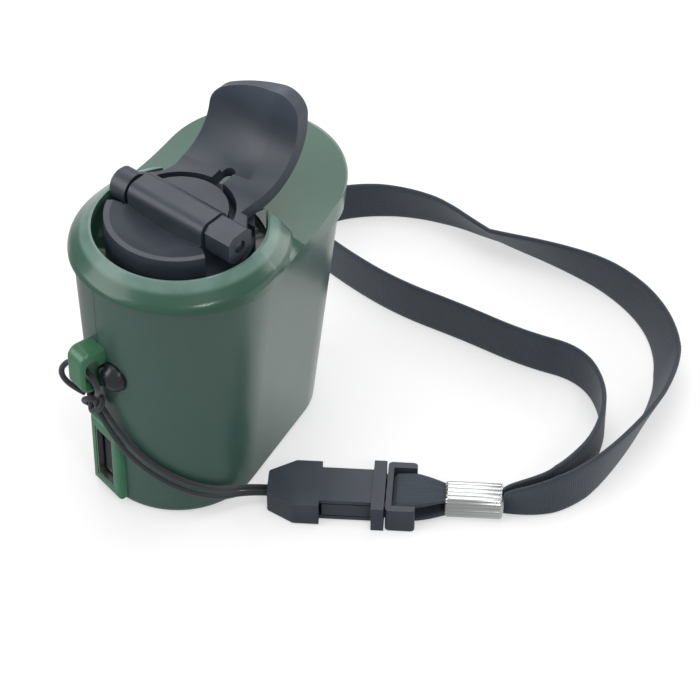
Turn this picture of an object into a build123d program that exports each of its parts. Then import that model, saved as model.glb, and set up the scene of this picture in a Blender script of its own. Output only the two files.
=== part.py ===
from build123d import *
import math
import os

# Hand crank phone charger, millimetres. Origin on the crank axis at the base
# plane, +Z up, +X along the housing away from the power socket.

# ---- housing shell -------------------------------------------------------
WALL = 2.0              # moulded wall of the shells
FLOOR = 2.2             # thickness of the bottom
LOFT_Z = 60.0           # height at which the top plan is measured
BASE_NEAR_X, BASE_NEAR_R = -3.4, 17.0
BASE_FAR_X, BASE_FAR_R = 19.5, 15.2
TOP_NEAR_X, TOP_NEAR_R = -0.3, 21.2
TOP_FAR_X, TOP_FAR_R = 24.8, 19.3
BASE_EDGE = 1.6         # radius round the bottom edge
SEAM_Y = 6.7            # parting line between the two shells
BOSS_R = 2.2            # screw bosses inside the shells
LEDGE = 5.2             # square ledges that carry the gear plate
EDGE_Z = 53.8           # cover joint height above the crank axis
EDGE_SLOPE = 0.12       # cover joint falls this much per millimetre of X
NOSE_DEG = 20.0         # socket and lug sit this far round the near end

# ---- top cover -----------------------------------------------------------
FLARE = 1.0             # cover stands proud of the shells
RIM_Z = 60.8            # top of the collar
LIP, LIP_Z = 2.0, 59.7  # width of the collar's leaning top land, and its outer height
BEVEL_Z = 57.2          # where the cover's side starts to lean in
BEVEL_R = 2.5           # round of that corner
RECESS_Z = 52.6         # floor of the crank recess
RECESS_FLOOR = 2.0      # its thickness
RECESS_WALL = 1.0       # wall of the recess below the joint
RECESS_SIDE = 0.142     # gap between that wall and the shells, level with the bottom of the recess
RIM_R = (BASE_NEAR_R + (TOP_NEAR_R - BASE_NEAR_R) * (RECESS_Z - RECESS_FLOOR) / LOFT_Z
         - WALL - RECESS_WALL - RECESS_SIDE)    # inside radius of the collar
TIP_X, TIP_LEAN = 12.2, 0.12   # where the collar ends, and the slope of its ends
RAMP = [(-6.0, 55.6), (8.0, 55.2), (16.0, 55.0), (26.0, 56.0), (37.0, 58.0), (50.0, 59.8)]
COVER_LIP = 2.0         # locating lip below the joint
LIP_T = 1.2
FIT = 0.1               # clearance of located pieces
RUN = 0.05              # radial clearance of running fits
SEAT = 0.02             # radial clearance of fixed pins

# ---- crank ---------------------------------------------------------------
CRANK_DEG = -8.0        # crank position as drawn
HUB_SIDE = 2.6          # gap between hub and collar
HUB_R = RIM_R - HUB_SIDE
HUB_GAP = 0.3           # hub above the recess floor
HUB_RIM_Z = 63.4        # rim of the dished crescent
DISH_RIM = 1.2
DISH_DEPTH = 2.6
DECK_Z = 60.2           # hub deck below the arm
NOTCH_Z = 57.6          # floor of the hub's two notches beside the barrel
PIN_Z = 63.0
PIN_R = 1.5
BARREL_W, BARREL_TOP = 7.6, 66.8
BARREL_ENDS = (-9.2, 10.2)    # along the pin
HALF_DISC_R = 9.8
RING_GAP = 1.5          # slot between half disc and arm
KNUCKLE_R = 3.4
KNUCKLE_SIDE = 1.5      # gap between knuckles and collar
KNUCKLE_OUT = RIM_R - KNUCKLE_SIDE
KNUCKLE_GAP = 0.35
PIN_SHOW = 1.3          # wider gap at the round knuckle, where the pin shows
ARM_T = 3.0
ARM_MID_Z = 62.9
WAIST_W = 20.2
GRIP_BEND_X = 10.8      # where the arm starts to sweep up
GRIP_BEND_R = 12.5
GRIP_SKEW = 10.0        # the sweep's axis is turned this far from the pin
GRIP_DEG = 86.0
GRIP_UP = 4.4
GRIP_TILT, GRIP_ARCH = 2.8, 1.6    # the free end rises to one side, and is arched
GRIP_CORNER = 5.0
DISH_W, DISH_T = 16.0, 1.1    # thumb dish
DISH_FROM = 16.0        # angle on the bend where it starts
KEY_W, KEY_END = 3.0, 15.9

# ---- drive train ---------------------------------------------------------
MODULE = 0.5
TEETH_CRANK, TEETH_PINION, TEETH_IDLER = 56, 12, 32
BACKLASH = 0.16
GEAR_T = 2.6
GEAR_GAP = 1.2
SHAFT_R = 3.0
AXLE_R = 1.2
ROTOR_R = 1.0
PLATE_Z, PLATE_T = 36.5, 2.0
LOWER_GEAR_Z = 40.0
GEN_X = 24.0
GEN_R, GEN_H = 9.0, 21.0
GEN_WALL = 1.0
MAGNET_R = 6.2
STATOR_GAP = 0.5

# ---- socket, board, lamp -------------------------------------------------
PORT_Z = 10.3
PORT_L, PORT_W, PORT_DEEP, PORT_WALL = 13.1, 5.7, 14.0, 0.3
BEZEL_H, BEZEL_W, BEZEL_T, BEZEL_PROUD = 17.6, 9.4, 3.9, 1.2
BOARD_T, BOARD_L, BOARD_H, BOARD_Z = 1.6, 19.0, 29.0, 4.0
BOARD_IN = 2.509        # board's edge, in from the outside of the near end at the board's foot
LAMP_Z, LAMP_DEG, LAMP_R, LAMP_PROUD = 34.7, 8.0, 3.3, 2.6
LUG_Z, LUG_H, LUG_OUT, LUG_T = 36.4, 10.0, 5.9, 5.0
LUG_EYE_W, LUG_EYE_H = 3.4, 6.0

# ---- lanyard -------------------------------------------------------------
CORD_R = 0.6
CORD_PITCH = 1.6        # spacing of the two strands at the buckle
BUCKLE_AT, BUCKLE_DEG = (-4.8, -22.7), -61.8
SOCKET_L, SOCKET_W, SOCKET_H = 24.0, 13.0, 6.0
FLANGE = 2.6            # thick end of the socket, where the plug meets it
PLUG_GAP = 0.3
FRAME_L = 6.0
BAR_AT, BAR_T, BAR_H = 2.4, 1.6, 2.0    # bar that carries the webbing, from the frame's near edge
PRONG_L, PRONG_T = 13.0, 3.0
WEB_W, WEB_T = 10.0, 1.0
CRIMP_AT, CRIMP_L, CRIMP_W, CRIMP_H = 36.2, 11.8, 6.6, 5.8


# ---- shared shapes -------------------------------------------------------
def egg(near_x, near_r, far_x, far_r):
    """Plan of the housing: two circles and their outer tangents."""
    c = (near_r - far_r) / (far_x - near_x)
    s = math.sqrt(1 - c * c)
    a, b = (near_x + near_r * c, near_r * s), (far_x + far_r * c, far_r * s)
    ring = [
        ThreePointArc(a, (near_x - near_r, 0), (a[0], -a[1])),
        Line((a[0], -a[1]), (b[0], -b[1])),
        ThreePointArc((b[0], -b[1]), (far_x + far_r, 0), b),
        Line(b, a),
    ]
    return make_face(Curve() + ring)


def plan_values(z, grow):
    k = z / LOFT_Z
    return (BASE_NEAR_X + (TOP_NEAR_X - BASE_NEAR_X) * k,
            BASE_NEAR_R + (TOP_NEAR_R - BASE_NEAR_R) * k + grow,
            BASE_FAR_X + (TOP_FAR_X - BASE_FAR_X) * k,
            BASE_FAR_R + (TOP_FAR_R - BASE_FAR_R) * k + grow)


def egg_at(z, grow=0.0):
    return Pos(0, 0, z) * egg(*plan_values(z, grow))


def egg_solid(z0, z1, grow=0.0):
    return loft([egg_at(z0, grow), egg_at(z1, grow)], ruled=True)


def joint_plane(drop=0.0):
    return Plane(origin=(0, 0, EDGE_Z - drop), x_dir=(1, 0, -EDGE_SLOPE),
                 z_dir=(EDGE_SLOPE, 0, 1))


def box(x0, x1, y0, y1, z0, z1):
    return Pos((x0 + x1) / 2, (y0 + y1) / 2, (z0 + z1) / 2) * Box(x1 - x0, y1 - y0, z1 - z0)


def rod(r, z0, z1, x=0.0, y=0.0):
    return Pos(x, y, (z0 + z1) / 2) * Cylinder(r, z1 - z0)


def rod_y(r, y0, y1, x=0.0, z=0.0):
    return Pos(x, (y0 + y1) / 2, z) * Rot(90, 0, 0) * Cylinder(r, y1 - y0)


def rod_x(r, x0, x1, y=0.0, z=0.0):
    return Pos((x0 + x1) / 2, y, z) * Rot(0, 90, 0) * Cylinder(r, x1 - x0)


def group(solids):
    return Compound(list(solids))


def nose(deg, z):
    """Frame of a feature on the near end: -X points out of the wall."""
    return Location((plan_values(z, 0)[0], 0, 0), (0, 0, -deg))


def nose_r(z):
    return plan_values(z, 0)[1]


# ---- gears ---------------------------------------------------------------
def involute_gear(teeth, z0, thick, bore, turn):
    """Spur gear with a tooth centred at TURN degrees."""
    rp = MODULE * teeth / 2
    rb = rp * math.cos(math.radians(20))
    ra, rf = rp + 0.9 * MODULE, rp - 1.2 * MODULE
    inv = math.tan(math.radians(20)) - math.radians(20)
    half = (math.pi * MODULE / 2 - BACKLASH / 2) / (2 * rp)
    lo = max(rb, rf) + 0.01
    radii = [lo + (ra - lo) * i / 3 for i in range(4)]
    flank = []
    for r in radii:
        t = math.acos(min(1, rb / r))
        flank.append((r, half + inv - (math.tan(t) - t)))
    pts = []
    for i in range(round(teeth)):
        mid = math.radians(turn) + 2 * math.pi * i / teeth
        side = [(rf, flank[0][1])] + flank
        for r, a in side:
            pts.append((r * math.cos(mid - a), r * math.sin(mid - a)))
        for r, a in reversed(side):
            pts.append((r * math.cos(mid + a), r * math.sin(mid + a)))
    face = make_face(Polyline(*pts, close=True)) - Circle(bore)
    return Pos(0, 0, z0) * extrude(face, thick)


def train():
    """Where the idler sits, and the directions of its two meshes."""
    a = MODULE * (TEETH_CRANK + TEETH_PINION) / 2
    b = MODULE * (TEETH_IDLER + TEETH_PINION) / 2
    x = (a * a - b * b + GEN_X * GEN_X) / (2 * GEN_X)
    y = math.sqrt(a * a - x * x)
    return x, y, math.degrees(math.atan2(y, x)), math.degrees(math.atan2(-y, GEN_X - x))


IDLER_X, IDLER_Y, MESH_1, MESH_2 = train()
UPPER_GEAR_Z = LOWER_GEAR_Z + GEAR_T + GEAR_GAP
GEN_Z = PLATE_Z - GEN_H


# ---- housing -------------------------------------------------------------
def lug():
    z0, z1 = LUG_Z - LUG_H / 2, LUG_Z + LUG_H / 2
    r = nose_r(LUG_Z)
    ear = box(-r - LUG_OUT, -r + WALL * 0.75, -LUG_T / 2, LUG_T / 2, z0, z1)
    ear = fillet(ear.edges().filter_by(Axis.Y).group_by(Axis.X)[0], LUG_OUT * 0.4)
    ear = fillet(ear.edges().group_by(Axis.X)[0], 0.6)
    eye = SlotOverall(LUG_EYE_H, LUG_EYE_W, rotation=90)
    eye = Plane.XZ * Pos(-r - LUG_OUT / 2 - 0.2, LUG_Z) * eye
    return nose(NOSE_DEG, LUG_Z) * (ear - extrude(eye, LUG_T, both=True))


def screw_places():
    """X and Z of the three bosses, set in from the floor and from the far wall."""
    low = FLOOR + BOSS_R + 2
    high = PLATE_Z + PLATE_T + BOSS_R + 0.8
    _, _, far_x, far_r = plan_values(high, 0)
    return [(far_x + far_r - WALL - BOSS_R - 1, high), (7.0, low), (24.0, low)]


def shells():
    body = egg_solid(0, LOFT_Z)
    body = fillet(body.edges().group_by(Axis.Z)[0], BASE_EDGE)
    body += lug()
    body -= egg_solid(FLOOR, LOFT_Z, -WALL)
    inner = egg_solid(FLOOR, LOFT_Z, -WALL + 0.2)
    bosses = [rod_y(BOSS_R, -25, 25, x, z) for x, z in screw_places()]
    k = LEDGE / 2
    ledges = [box(x - k, x + k, y - k, y + k, PLATE_Z - 3, PLATE_Z) for x, y in plate_screw_places()]
    body += inner & group(bosses + ledges)
    body = split(body, bisect_by=joint_plane(), keep=Keep.BOTTOM)
    seat = nose(NOSE_DEG, PORT_Z) * bezel_block(FIT / 2)
    body -= [seat, lamp_place() * rod_x(LAMP_R + FIT, -nose_r(LAMP_Z) - 5, -nose_r(LAMP_Z) + 4, 0, LAMP_Z)]
    body -= plate_screw_holes()
    for x, z in screw_places():
        back = wall_y(x, z)
        body -= rod_y(0.8 + SEAT, SEAM_Y - 8, SEAM_Y + 0.01, x, z)
        body -= rod_y(1.1, SEAM_Y, 30, x, z)
        body -= rod_y(2.0, back - 1.5, 30, x, z)
    front = split(body, bisect_by=Plane.XZ.offset(-SEAM_Y), keep=Keep.TOP)
    rear = split(body, bisect_by=Plane.XZ.offset(-SEAM_Y), keep=Keep.BOTTOM)
    return front, rear


def wall_y(x, z, grow=0.0):
    """Outer Y of the shells at X, Z, or of a surface that lies GROW outside them."""
    nx, nr, fx, fr = plan_values(z, grow)
    if x < nx:
        return math.sqrt(nr * nr - (x - nx) ** 2)
    if x > fx:
        return math.sqrt(fr * fr - (x - fx) ** 2)
    return nr + (fr - nr) * (x - nx) / (fx - nx)


def shell_screws():
    out = []
    for x, z in screw_places():
        back = wall_y(x, z) - 1.5
        out.append(rod_y(1.9, back, back + 1.1, x, z) + rod_y(0.8, SEAM_Y - 7, back, x, z))
    return group(out)


def bezel_block(grow):
    r = nose_r(PORT_Z)
    return box(-r - BEZEL_PROUD - grow, -r - BEZEL_PROUD + BEZEL_T + grow,
               -BEZEL_W / 2 - grow, BEZEL_W / 2 + grow,
               PORT_Z - BEZEL_H / 2 - grow, PORT_Z + BEZEL_H / 2 + grow)


def port_bezel():
    body = bezel_block(0)
    front = body.edges().group_by(Axis.X)[0]
    body = fillet(front, 0.9)
    r = nose_r(PORT_Z)
    hole = box(-r - 5, -r + 5, -PORT_W / 2 - FIT, PORT_W / 2 + FIT,
               PORT_Z - PORT_L / 2 - FIT, PORT_Z + PORT_L / 2 + FIT)
    return nose(NOSE_DEG, PORT_Z) * (body - hole)


def usb_box(grow, x0, x1):
    return box(x0, x1, -PORT_W / 2 - grow, PORT_W / 2 + grow,
               PORT_Z - PORT_L / 2 - grow, PORT_Z + PORT_L / 2 + grow)


def usb_parts():
    mouth = -nose_r(PORT_Z) - BEZEL_PROUD + 0.15
    end = mouth + PORT_DEEP
    shell = usb_box(0, mouth, end) - usb_box(-PORT_WALL, mouth - 1, end - PORT_WALL)
    shell -= [box(mouth + 4, mouth + 8, -PORT_W, PORT_W, PORT_Z + s * 3 - 0.8, PORT_Z + s * 3 + 0.8)
              for s in (-1, 1)]
    back = end - PORT_WALL
    inner = PORT_W / 2 - PORT_WALL
    tongue = box(back - 2.4, back, -inner, inner, PORT_Z - 6.0, PORT_Z + 6.0)
    tongue += box(mouth + 1.5, back, inner - 2.0 - 0.5, inner - 0.5, PORT_Z - 5.6, PORT_Z + 5.6)
    face = inner - 2.5
    pins = [box(mouth + 2.5, back - 2.4, face - 0.2, face, z - 0.5, z + 0.5)
            for z in (PORT_Z - 3.5, PORT_Z - 1.0, PORT_Z + 1.0, PORT_Z + 3.5)]
    at = nose(NOSE_DEG, PORT_Z)
    return at * shell, at * tongue, at * group(pins)


def board_face():
    return PORT_W / 2


def circuit_board():
    y = board_face()
    x0 = BOARD_IN - nose_r(BOARD_Z)
    plate = box(x0, x0 + BOARD_L, y, y + BOARD_T, BOARD_Z, BOARD_Z + BOARD_H)
    plate -= rod_y(1.0, y - 1, y + BOARD_T + 1, x0 + BOARD_L - 2.5, BOARD_Z + BOARD_H - 2.5)
    return nose(NOSE_DEG, PORT_Z) * plate, x0


def board_parts():
    x0 = circuit_board()[1]
    y = board_face()
    cap = [rod_y(3.1, y - 5.5, y, x0 + 5.5, 24.5), rod_y(2.4, y - 5.0, y, x0 + 13.5, 24.0)]
    chip = box(x0 + 11.6, x0 + 16.6, y - 1.5, y, 13.0, 17.0)
    coil = box(x0 + 11.6, x0 + 17.6, y - 3.2, y, 5.0, 11.0)
    at = nose(NOSE_DEG, PORT_Z)
    return at * group(cap), at * chip, at * coil


def lamp_place():
    return nose(LAMP_DEG, LAMP_Z)


def lamp():
    r = nose_r(LAMP_Z)
    side = -r - 0.5
    rise = LAMP_PROUD - 0.5
    ball = (LAMP_R ** 2 + rise ** 2) / (2 * rise)
    mid = math.asin(LAMP_R / ball) / 2
    tip, core = side - rise, LAMP_R - 1.2
    back = Polyline((tip, 0), (side + 0.4, 0), (side + 0.4, 1.6), (side + 2.3, 1.6), (side + 2.3, core),
                    (side + 1.6, core), (side + 1.6, LAMP_R), (side, LAMP_R))
    dome = ThreePointArc((side, LAMP_R), (tip + ball - ball * math.cos(mid), ball * math.sin(mid)), (tip, 0))
    lens = Pos(0, 0, LAMP_Z) * revolve(make_face(Curve() + [back, dome]), Axis.X)
    bulb = rod_x(1.5, side + 0.6, side + 4.4, 0, LAMP_Z)
    return lamp_place() * lens, lamp_place() * bulb


# ---- top cover -----------------------------------------------------------
def ramp_cut():
    top = RIM_Z + 20
    curve = Spline(*[(x, z) for x, z in RAMP])
    first, last = RAMP[0], RAMP[-1]
    rest = Polyline(last, (last[0], top), (-40, top), (-40, first[1]), first)
    return extrude(Plane.XZ * make_face(Curve() + [curve, rest]), 40, both=True)


def crown():
    far_x, far_r = TOP_FAR_X - 0.6, TOP_FAR_R - 2.4
    land = Pos(0, 0, LIP_Z) * egg(0, RIM_R + LIP, far_x, far_r)
    rim = Pos(0, 0, RIM_Z) * egg(0, RIM_R + 0.5, far_x, far_r - LIP + 0.5)
    lower = loft([egg_at(44, FLARE), egg_at(BEVEL_Z, FLARE)], ruled=True)
    body = lower + loft([egg_at(BEVEL_Z, FLARE), land], ruled=True)
    body = fillet([e for e in body.edges() if abs(e.center().Z - BEVEL_Z) < FIT], BEVEL_R)
    return body + loft([land, rim], ruled=True)


def collar_end():
    """Everything beyond the two leaning ends of the collar."""
    z0, z1 = RAMP[0][1] - 6, RIM_Z + 5
    x = [TIP_X + (RIM_Z - z) * TIP_LEAN for z in (z0, z1)]
    side = Polyline((x[0], z0), (x[1], z1), (90, z1), (90, z0), close=True)
    return extrude(Plane.XZ * make_face(side), 40, both=True)


def top_cover():
    body = split(crown(), bisect_by=joint_plane(), keep=Keep.TOP)
    far = body - ramp_cut()
    collar = body - collar_end()
    cover = far + collar + rod(RIM_R + RECESS_WALL, RECESS_Z - RECESS_FLOOR, EDGE_Z + 1)
    cover -= rod(RIM_R, RECESS_Z, RIM_Z + 10)
    ceiling = RECESS_Z - RECESS_FLOOR
    cover -= egg_solid(40, ceiling, -WALL)
    deck = egg_at(ceiling, -WALL - 0.8) - Pos(0, 0, ceiling) * Circle(RIM_R + WALL)
    cover -= extrude(deck.faces().sort_by(Axis.X)[-1], 2.6)
    skirt = egg_solid(30, LOFT_Z, -WALL - FIT) - egg_solid(30, LOFT_Z, -WALL - FIT - LIP_T)
    skirt = split(skirt, bisect_by=joint_plane(), keep=Keep.BOTTOM)
    cover += split(skirt, bisect_by=joint_plane(COVER_LIP), keep=Keep.TOP)
    cover += rod(5.0, ceiling - 2.4, RECESS_Z)
    return cover - rod(SHAFT_R + RUN, 30, RIM_Z)


# ---- crank ---------------------------------------------------------------
def crank_turn():
    return Rot(0, 0, CRANK_DEG)


def pin_hole(r):
    return rod_y(r, -KNUCKLE_OUT - 1, KNUCKLE_OUT + 1, 0, PIN_Z)


def hub():
    z0 = RECESS_Z + HUB_GAP
    disc = rod(HUB_R, z0, HUB_RIM_Z)
    dish_r = HUB_R - DISH_RIM
    ball = (dish_r ** 2 + DISH_DEPTH ** 2) / (2 * DISH_DEPTH)
    disc -= Pos(0, 0, HUB_RIM_Z - DISH_DEPTH + ball) * Sphere(ball)
    disc -= box(-BARREL_W / 2, 30, -30, 30, DECK_Z, HUB_RIM_Z + 1)
    barrel = box(-BARREL_W / 2, BARREL_W / 2, *BARREL_ENDS, DECK_Z - 1, BARREL_TOP)
    barrel = fillet(barrel.edges().filter_by(Axis.Y).group_by(Axis.Z)[-1], BARREL_W * 0.3)
    half = rod(HALF_DISC_R, DECK_Z - 1, ARM_MID_Z + ARM_T / 2) & box(0, 30, -30, 30, 0, 90)
    body = disc + barrel + half
    for s, end in zip((-1, 1), BARREL_ENDS):
        body -= Pos(0, end + s * 10, PIN_Z) * Rot(90, 0, 0) * Cylinder(KNUCKLE_R + 1.1, 20)
        x, y = -BARREL_W / 2, end + s * FIT
        wedge = Polyline((x, y), (x - 9, y + s * 11), (9, y + s * 11), (9, y), close=True)
        body -= Pos(0, 0, NOTCH_Z) * extrude(make_face(wedge), 20)
    body -= pin_hole(PIN_R + RUN)
    body -= rod(SHAFT_R + SEAT, z0 - 1, z0 + 4.5)
    return crank_turn() * body


def skew_plane():
    """Plane of the arm's side view: its X runs away from the pin, turned by the skew."""
    a = math.radians(GRIP_SKEW)
    return Plane(origin=(0, 0, 0), x_dir=(math.cos(a), math.sin(a), 0), z_dir=(math.sin(a), -math.cos(a), 0))


def on_bend(r, t):
    """Point of the side view at radius R on the upward bend, T radians round."""
    return GRIP_BEND_X + r * math.sin(t), ARM_MID_Z + GRIP_BEND_R - r * math.cos(t)


def up_grip(p, rise):
    a = math.radians(GRIP_DEG)
    return p[0] + rise * math.cos(a), p[1] + rise * math.sin(a)


def arm_side():
    """Side view of the arm: flat plate that sweeps up into the finger grip."""
    h, a, root = ARM_T / 2, math.radians(GRIP_DEG), -12
    ro, ri = GRIP_BEND_R + h, GRIP_BEND_R - h
    low, high = up_grip(on_bend(ro, a), GRIP_UP + 6), up_grip(on_bend(ri, a), GRIP_UP + 6)
    lines = [
        Line((root, ARM_MID_Z - h), on_bend(ro, 0)),
        ThreePointArc(on_bend(ro, 0), on_bend(ro, a / 2), on_bend(ro, a)),
        Line(on_bend(ro, a), low),
        Line(low, high),
        Line(high, on_bend(ri, a)),
        ThreePointArc(on_bend(ri, a), on_bend(ri, a / 2), on_bend(ri, 0)),
        Line(on_bend(ri, 0), (root, ARM_MID_Z + h)),
        Line((root, ARM_MID_Z + h), (root, ARM_MID_Z - h)),
    ]
    return extrude(skew_plane() * make_face(Curve() + lines), 30, both=True)


def arm_plan():
    """Top view: fork and waist. The fork's round side is tucked in more than its square side."""
    w, k = WAIST_W / 2, KNUCKLE_OUT
    end = GRIP_BEND_X + GRIP_BEND_R + 8
    right = [(0, -k), (2.2, -k + 0.5), (5.6, -w - 2.6), (9.0, -w - 0.7), (14.0, -w), (end, -w)]
    left = [(end, w), (12.0, w), (7.0, w + 0.1), (4.2, w + 2.2), (2.0, k - 0.6), (0, k)]
    lines = [Spline(*right), Line(right[-1], left[0]), Spline(*left), Line(left[-1], right[0])]
    return Pos(0, 0, ARM_MID_Z - 10) * extrude(make_face(Curve() + lines), 60)


def arm_front():
    """End view: the grip's free end is arched, rises to one side and has round corners."""
    g = WAIST_W / 2 + 0.02
    low, top = ARM_MID_Z - 10, up_grip(on_bend(GRIP_BEND_R, math.radians(GRIP_DEG)), GRIP_UP)[1]
    arch = ThreePointArc((-g, top + GRIP_TILT), (0, top + GRIP_ARCH), (g, top - GRIP_TILT))
    rest = Polyline((g, top - GRIP_TILT), (g, low), (-g, low), (-g, top + GRIP_TILT))
    body = extrude(Plane.YZ * make_face(Curve() + [arch, rest]), 60)
    corners = body.edges().filter_by(Axis.X).group_by(Axis.Z)
    body = fillet(corners[-1] + corners[-2], GRIP_CORNER)
    return body + box(-1, GRIP_BEND_X - 4, -25, 25, low, low + 20)


def thumb_dish():
    """Shallow hollow that follows the grip's inner face."""
    a, start = math.radians(GRIP_DEG), math.radians(DISH_FROM)
    r = GRIP_BEND_R - ARM_T / 2
    end = on_bend(r, a)
    bend = ThreePointArc(on_bend(r, start), on_bend(r, (start + a) / 2), end)
    path = skew_plane() * (Curve() + [bend, Line(end, up_grip(end, GRIP_UP + 5))])
    section = Plane(origin=path @ 0, x_dir=-skew_plane().z_dir, z_dir=path % 0)
    w = DISH_W / 2
    rest = Polyline((w, 0), (w, 0.2), (-w, 0.2), (-w, 0))
    hollow = make_face(Curve() + [ThreePointArc((-w, 0), (0, -DISH_T), (w, 0)), rest])
    return sweep(section * hollow, path=path)


def crank_arm():
    arm = arm_side() & arm_plan() & arm_front()
    ring = HALF_DISC_R + RING_GAP
    arm -= rod(ring, ARM_MID_Z - 5, ARM_MID_Z + 5)
    slot = Pos((ring + KEY_END) / 2 - 1.5, 0) * SlotOverall(KEY_END - ring + 3, KEY_W)
    arm -= Pos(0, 0, ARM_MID_Z - 5) * extrude(slot, 10)
    arm -= thumb_dish()
    square, bare = BARREL_ENDS[0] - KNUCKLE_GAP, BARREL_ENDS[1] + PIN_SHOW
    arm += chamfer(rod_y(KNUCKLE_R, bare, KNUCKLE_OUT, 0, PIN_Z).edges().group_by(Axis.Y)[-1], 0.5)
    block = box(-KNUCKLE_R + 0.3, KNUCKLE_R, -KNUCKLE_OUT, square, PIN_Z - KNUCKLE_R + 0.4, PIN_Z + KNUCKLE_R)
    arm += chamfer(block.edges().filter_by(Axis.Y), 1.2)
    arm -= box(-5, KNUCKLE_R + 0.6, bare - 3, bare, PIN_Z - 5, PIN_Z + 5)
    arm -= pin_hole(PIN_R + SEAT)
    return crank_turn() * arm


def hinge_pin():
    end = KNUCKLE_OUT - 0.5
    return crank_turn() * rod_y(PIN_R, -end, end, 0, PIN_Z)


def crank_shaft():
    top = RECESS_Z + HUB_GAP + 4.3
    return rod(SHAFT_R, PLATE_Z + 0.3, top) - rod(1.0, PLATE_Z, PLATE_Z + 6)


# ---- drive train ---------------------------------------------------------
def crank_gear():
    gear = involute_gear(TEETH_CRANK, UPPER_GEAR_Z, GEAR_T, SHAFT_R + SEAT, MESH_1)
    gear -= [Rot(0, 0, 60 * i) * rod(2.3, UPPER_GEAR_Z - 1, UPPER_GEAR_Z + 5, 8.6) for i in range(6)]
    hub_ring = rod(5.0, UPPER_GEAR_Z - 0.9, UPPER_GEAR_Z) - rod(SHAFT_R + SEAT, 30, 60)
    return gear + hub_ring


def shaft_clip():
    z0 = UPPER_GEAR_Z + GEAR_T + 0.05
    ring = rod(4.8, z0, RECESS_Z - RECESS_FLOOR - 2.4 - 0.15) - rod(SHAFT_R + SEAT, 30, 60)
    return ring - box(0, 6, -1.1, 1.1, 30, 60)


def idler_gear():
    bore = AXLE_R + RUN
    wheel = involute_gear(TEETH_IDLER, LOWER_GEAR_Z, GEAR_T, bore, MESH_2)
    pinion = involute_gear(TEETH_PINION, LOWER_GEAR_Z + GEAR_T, GEAR_GAP + GEAR_T + 0.3, bore,
                           MESH_1 + 180 + 180 / TEETH_PINION)
    return Pos(IDLER_X, IDLER_Y, 0) * (wheel + pinion)


def idler_axle():
    body = rod(AXLE_R, PLATE_Z, RECESS_Z - RECESS_FLOOR - 0.1)
    body += rod(AXLE_R + 0.9, PLATE_Z + PLATE_T, LOWER_GEAR_Z - 0.1)
    return Pos(IDLER_X, IDLER_Y, 0) * body


def generator_pinion():
    pinion = involute_gear(TEETH_PINION, LOWER_GEAR_Z - 0.2, GEAR_T + 0.4, ROTOR_R + SEAT,
                           MESH_2 + 180 + 180 / TEETH_PINION)
    return Pos(GEN_X, 0, 0) * pinion


def generator_rotor():
    body = rod(ROTOR_R, GEN_Z + GEN_WALL * 0.4, LOWER_GEAR_Z + GEAR_T + 0.4)
    body += rod(MAGNET_R, GEN_Z + GEN_WALL + 1, PLATE_Z - GEN_WALL - 1)
    return Pos(GEN_X, 0, 0) * body


def generator_can():
    body = rod(GEN_R, GEN_Z, PLATE_Z) - rod(GEN_R - GEN_WALL, GEN_Z + GEN_WALL, PLATE_Z - GEN_WALL)
    body -= rod(ROTOR_R + RUN, GEN_Z + GEN_WALL * 0.4 - 0.05, PLATE_Z + 1)
    return Pos(GEN_X, 0, 0) * body


def generator_stator():
    z0, z1 = GEN_Z + GEN_WALL + 2, PLATE_Z - GEN_WALL - 2
    body = rod(GEN_R - GEN_WALL - SEAT, z0, z1) - rod(MAGNET_R + STATOR_GAP, z0, z1)
    return Pos(GEN_X, 0, 0) * body


def plate_screw_places():
    """Set in from the inside of the shells."""
    return [(x, side * (wall_y(x, PLATE_Z, -WALL) - inset))
            for x, side, inset in ((-9.0, -1, 2.67893), (31.5, -1, 2.21121), (8.0, 1, 1.82458))]


def plate_screw_holes():
    return [rod(0.8 + SEAT, PLATE_Z - 2.6, PLATE_Z + 0.01, x, y) for x, y in plate_screw_places()]


def gear_plate():
    z1 = PLATE_Z + PLATE_T
    plate = egg_solid(PLATE_Z, z1, -WALL - 0.4)
    plate -= rod(SHAFT_R + RUN, PLATE_Z - 1, z1 + 1)
    plate -= rod(AXLE_R + SEAT, PLATE_Z - 1, z1 + 1, IDLER_X, IDLER_Y)
    plate -= rod(ROTOR_R + RUN, PLATE_Z - 1, z1 + 1, GEN_X, 0)
    plate -= [rod(0.9, PLATE_Z - 1, z1 + 1, x, y) for x, y in plate_screw_places()]
    return plate


def plate_screws():
    z1 = PLATE_Z + PLATE_T
    return group(rod(1.7, z1, z1 + 1.1, x, y) + rod(0.8, PLATE_Z - 2.4, z1, x, y)
                 for x, y in plate_screw_places())


# ---- lanyard -------------------------------------------------------------
def cord_path(points, name):
    """Straight runs joined by tangent arcs as large as the runs allow."""
    v = [Vector(*p) for p in points]
    radii = []
    for a, b, c in zip(v, v[1:], v[2:]):
        turn = math.radians((b - a).get_angle(c - b))
        radii.append(0.45 * min((b - a).length, (c - b).length) / math.tan(turn / 2))
    print(name, "radii", [round(r, 1) for r in radii])
    return FilletPolyline(*points, radius=radii)


def tube(points, r, name):
    path = cord_path(points, name)
    body = sweep((path ^ 0) * Circle(r), path=path)
    print(name, "volume", round(body.volume, 2), "expected", round(math.pi * r * r * path.length, 2))
    return body


def off_nose(out, y, rise):
    """A point OUT of the wall at the lug, Y to its side and RISE above its middle."""
    return tuple((nose(NOSE_DEG, LUG_Z) * Pos(-nose_r(LUG_Z) - out, y, LUG_Z + rise)).position)


def round_nose(deg, out, z):
    """A point OUT of the near end's wall at height Z, DEG degrees round it."""
    near_x, near_r, _, _ = plan_values(z, 0)
    a = math.radians(deg)
    return near_x - (near_r + out) * math.cos(a), (near_r + out) * math.sin(a), z


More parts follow.
